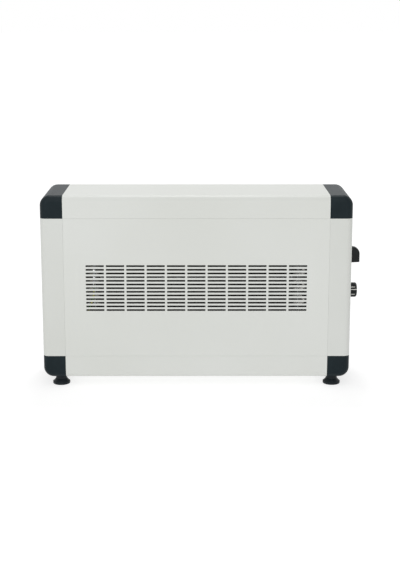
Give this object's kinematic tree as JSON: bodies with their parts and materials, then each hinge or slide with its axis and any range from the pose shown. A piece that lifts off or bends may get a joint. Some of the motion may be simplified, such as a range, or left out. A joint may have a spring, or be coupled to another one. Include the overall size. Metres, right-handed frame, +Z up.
{
  "type": "fan heater",
  "caption": "Free-standing fan heater: folded steel cabinet with slotted front and rear panels, dark corner mouldings, levelling feet, and a rotary selector and thermostat on its side.",
  "frame": {"origin": "on the floor plane under the middle of the cabinet", "axes": "+X to the right as seen from the front, towards the controls; +Y to the rear; +Z up"},
  "size_m": [0.6243, 0.174, 0.3794],
  "materials": {
    "cabinet_paint": "fine powder coat, satin",
    "corner_plastic": "fine moulded grain",
    "foot_plastic": "smooth, dull",
    "knob_plastic": "satin",
    "gland_plastic": "satin",
    "zinc_sheet": "zinc plated",
    "zinc_hardware": "zinc plated",
    "shaft_steel": "ground",
    "element_sheath": "heat darkened",
    "bead_ceramic": "unglazed",
    "impeller_aluminium": "mill finish",
    "brass": "plain",
    "grommet_rubber": "dull",
    "core_steel": "stacked laminations",
    "coil_tape": "wound tape",
    "control_plastic": "moulded",
    "terminal_plastic": "moulded",
    "earth_insulation": "two-tone green and yellow",
    "lead_insulation": "smooth"
  },
  "bodies": {
    "cabinet": {"top_rail": "cabinet_paint", "bottom_rail": "cabinet_paint", "left_rail": "cabinet_paint", "right_rail": "cabinet_paint", "front_panel": "cabinet_paint", "rear_panel": "cabinet_paint", "corner_top_left": "corner_plastic", "corner_top_right": "corner_plastic", "corner_bottom_left": "corner_plastic", "corner_bottom_right": "corner_plastic", "cord_gland": "gland_plastic", "support_plate_left": "zinc_sheet", "support_plate_right": "zinc_sheet", "fan_scroll": "zinc_sheet", "fan_tongue": "zinc_sheet", "rear_panel_screws": "zinc_hardware", "chassis_screws": "zinc_hardware", "motor_screws": "zinc_hardware", "motor_spacers": "zinc_hardware", "control_nuts": "zinc_hardware", "earth_fixings": "zinc_hardware", "element_collars": "zinc_hardware", "element_pins": "zinc_hardware", "heating_element_lower": "element_sheath", "heating_element_middle": "element_sheath", "heating_element_upper": "element_sheath", "element_beads": "bead_ceramic", "motor_bracket_inner": "impeller_aluminium", "motor_bracket_outer": "impeller_aluminium", "bearing_bush": "brass", "motor_bearings": "brass", "foot_inserts": "brass", "control_tabs": "brass", "bearing_grommet": "grommet_rubber", "motor_stack": "core_steel", "motor_coil": "coil_tape", "selector_switch": "control_plastic", "thermostat_body": "control_plastic", "thermal_cutout": "control_plastic", "terminal_block": "terminal_plastic", "earth_lead": "earth_insulation", "heater_leads": "lead_insulation", "motor_lead": "lead_insulation", "supply_leads": "lead_insulation"},
    "fan_rotor": {"fan_impeller": "impeller_aluminium", "stub_shaft": "shaft_steel", "motor_shaft": "shaft_steel", "motor_rotor": "impeller_aluminium"},
    "selector": {"selector_knob": "knob_plastic", "selector_spindle": "shaft_steel"},
    "thermostat": {"thermostat_knob": "knob_plastic", "thermostat_spindle": "shaft_steel"},
    "foot_front_left": {"foot_front_left": "foot_plastic", "stud_front_left": "zinc_hardware"},
    "foot_front_right": {"foot_front_right": "foot_plastic", "stud_front_right": "zinc_hardware"},
    "foot_rear_left": {"foot_rear_left": "foot_plastic", "stud_rear_left": "zinc_hardware"},
    "foot_rear_right": {"foot_rear_right": "foot_plastic", "stud_rear_right": "zinc_hardware"}
  },
  "joints": [
    {"name": "fan_spin", "type": "hinge", "parent": "cabinet", "child": "fan_rotor", "pos_m": [0, 0.015, 0.2004], "axis": [-1, 0, 0], "continuous": true},
    {"name": "selector_turn", "type": "hinge", "parent": "cabinet", "child": "selector", "pos_m": [0.3, 0, 0.2489], "axis": [-1, 0, 0], "range_deg": [0, 135]},
    {"name": "thermostat_turn", "type": "hinge", "parent": "cabinet", "child": "thermostat", "pos_m": [0.3, 0, 0.1774], "axis": [-1, 0, 0], "range_deg": [-73, 227]},
    {"name": "foot_front_left_level", "type": "slide", "parent": "cabinet", "child": "foot_front_left", "axis": [0, 0, -1], "range_m": [0, 0.01]},
    {"name": "foot_front_right_level", "type": "slide", "parent": "cabinet", "child": "foot_front_right", "axis": [0, 0, -1], "range_m": [0, 0.01]},
    {"name": "foot_rear_left_level", "type": "slide", "parent": "cabinet", "child": "foot_rear_left", "axis": [0, 0, -1], "range_m": [0, 0.01]},
    {"name": "foot_rear_right_level", "type": "slide", "parent": "cabinet", "child": "foot_rear_right", "axis": [0, 0, -1], "range_m": [0, 0.01]}
  ]
}
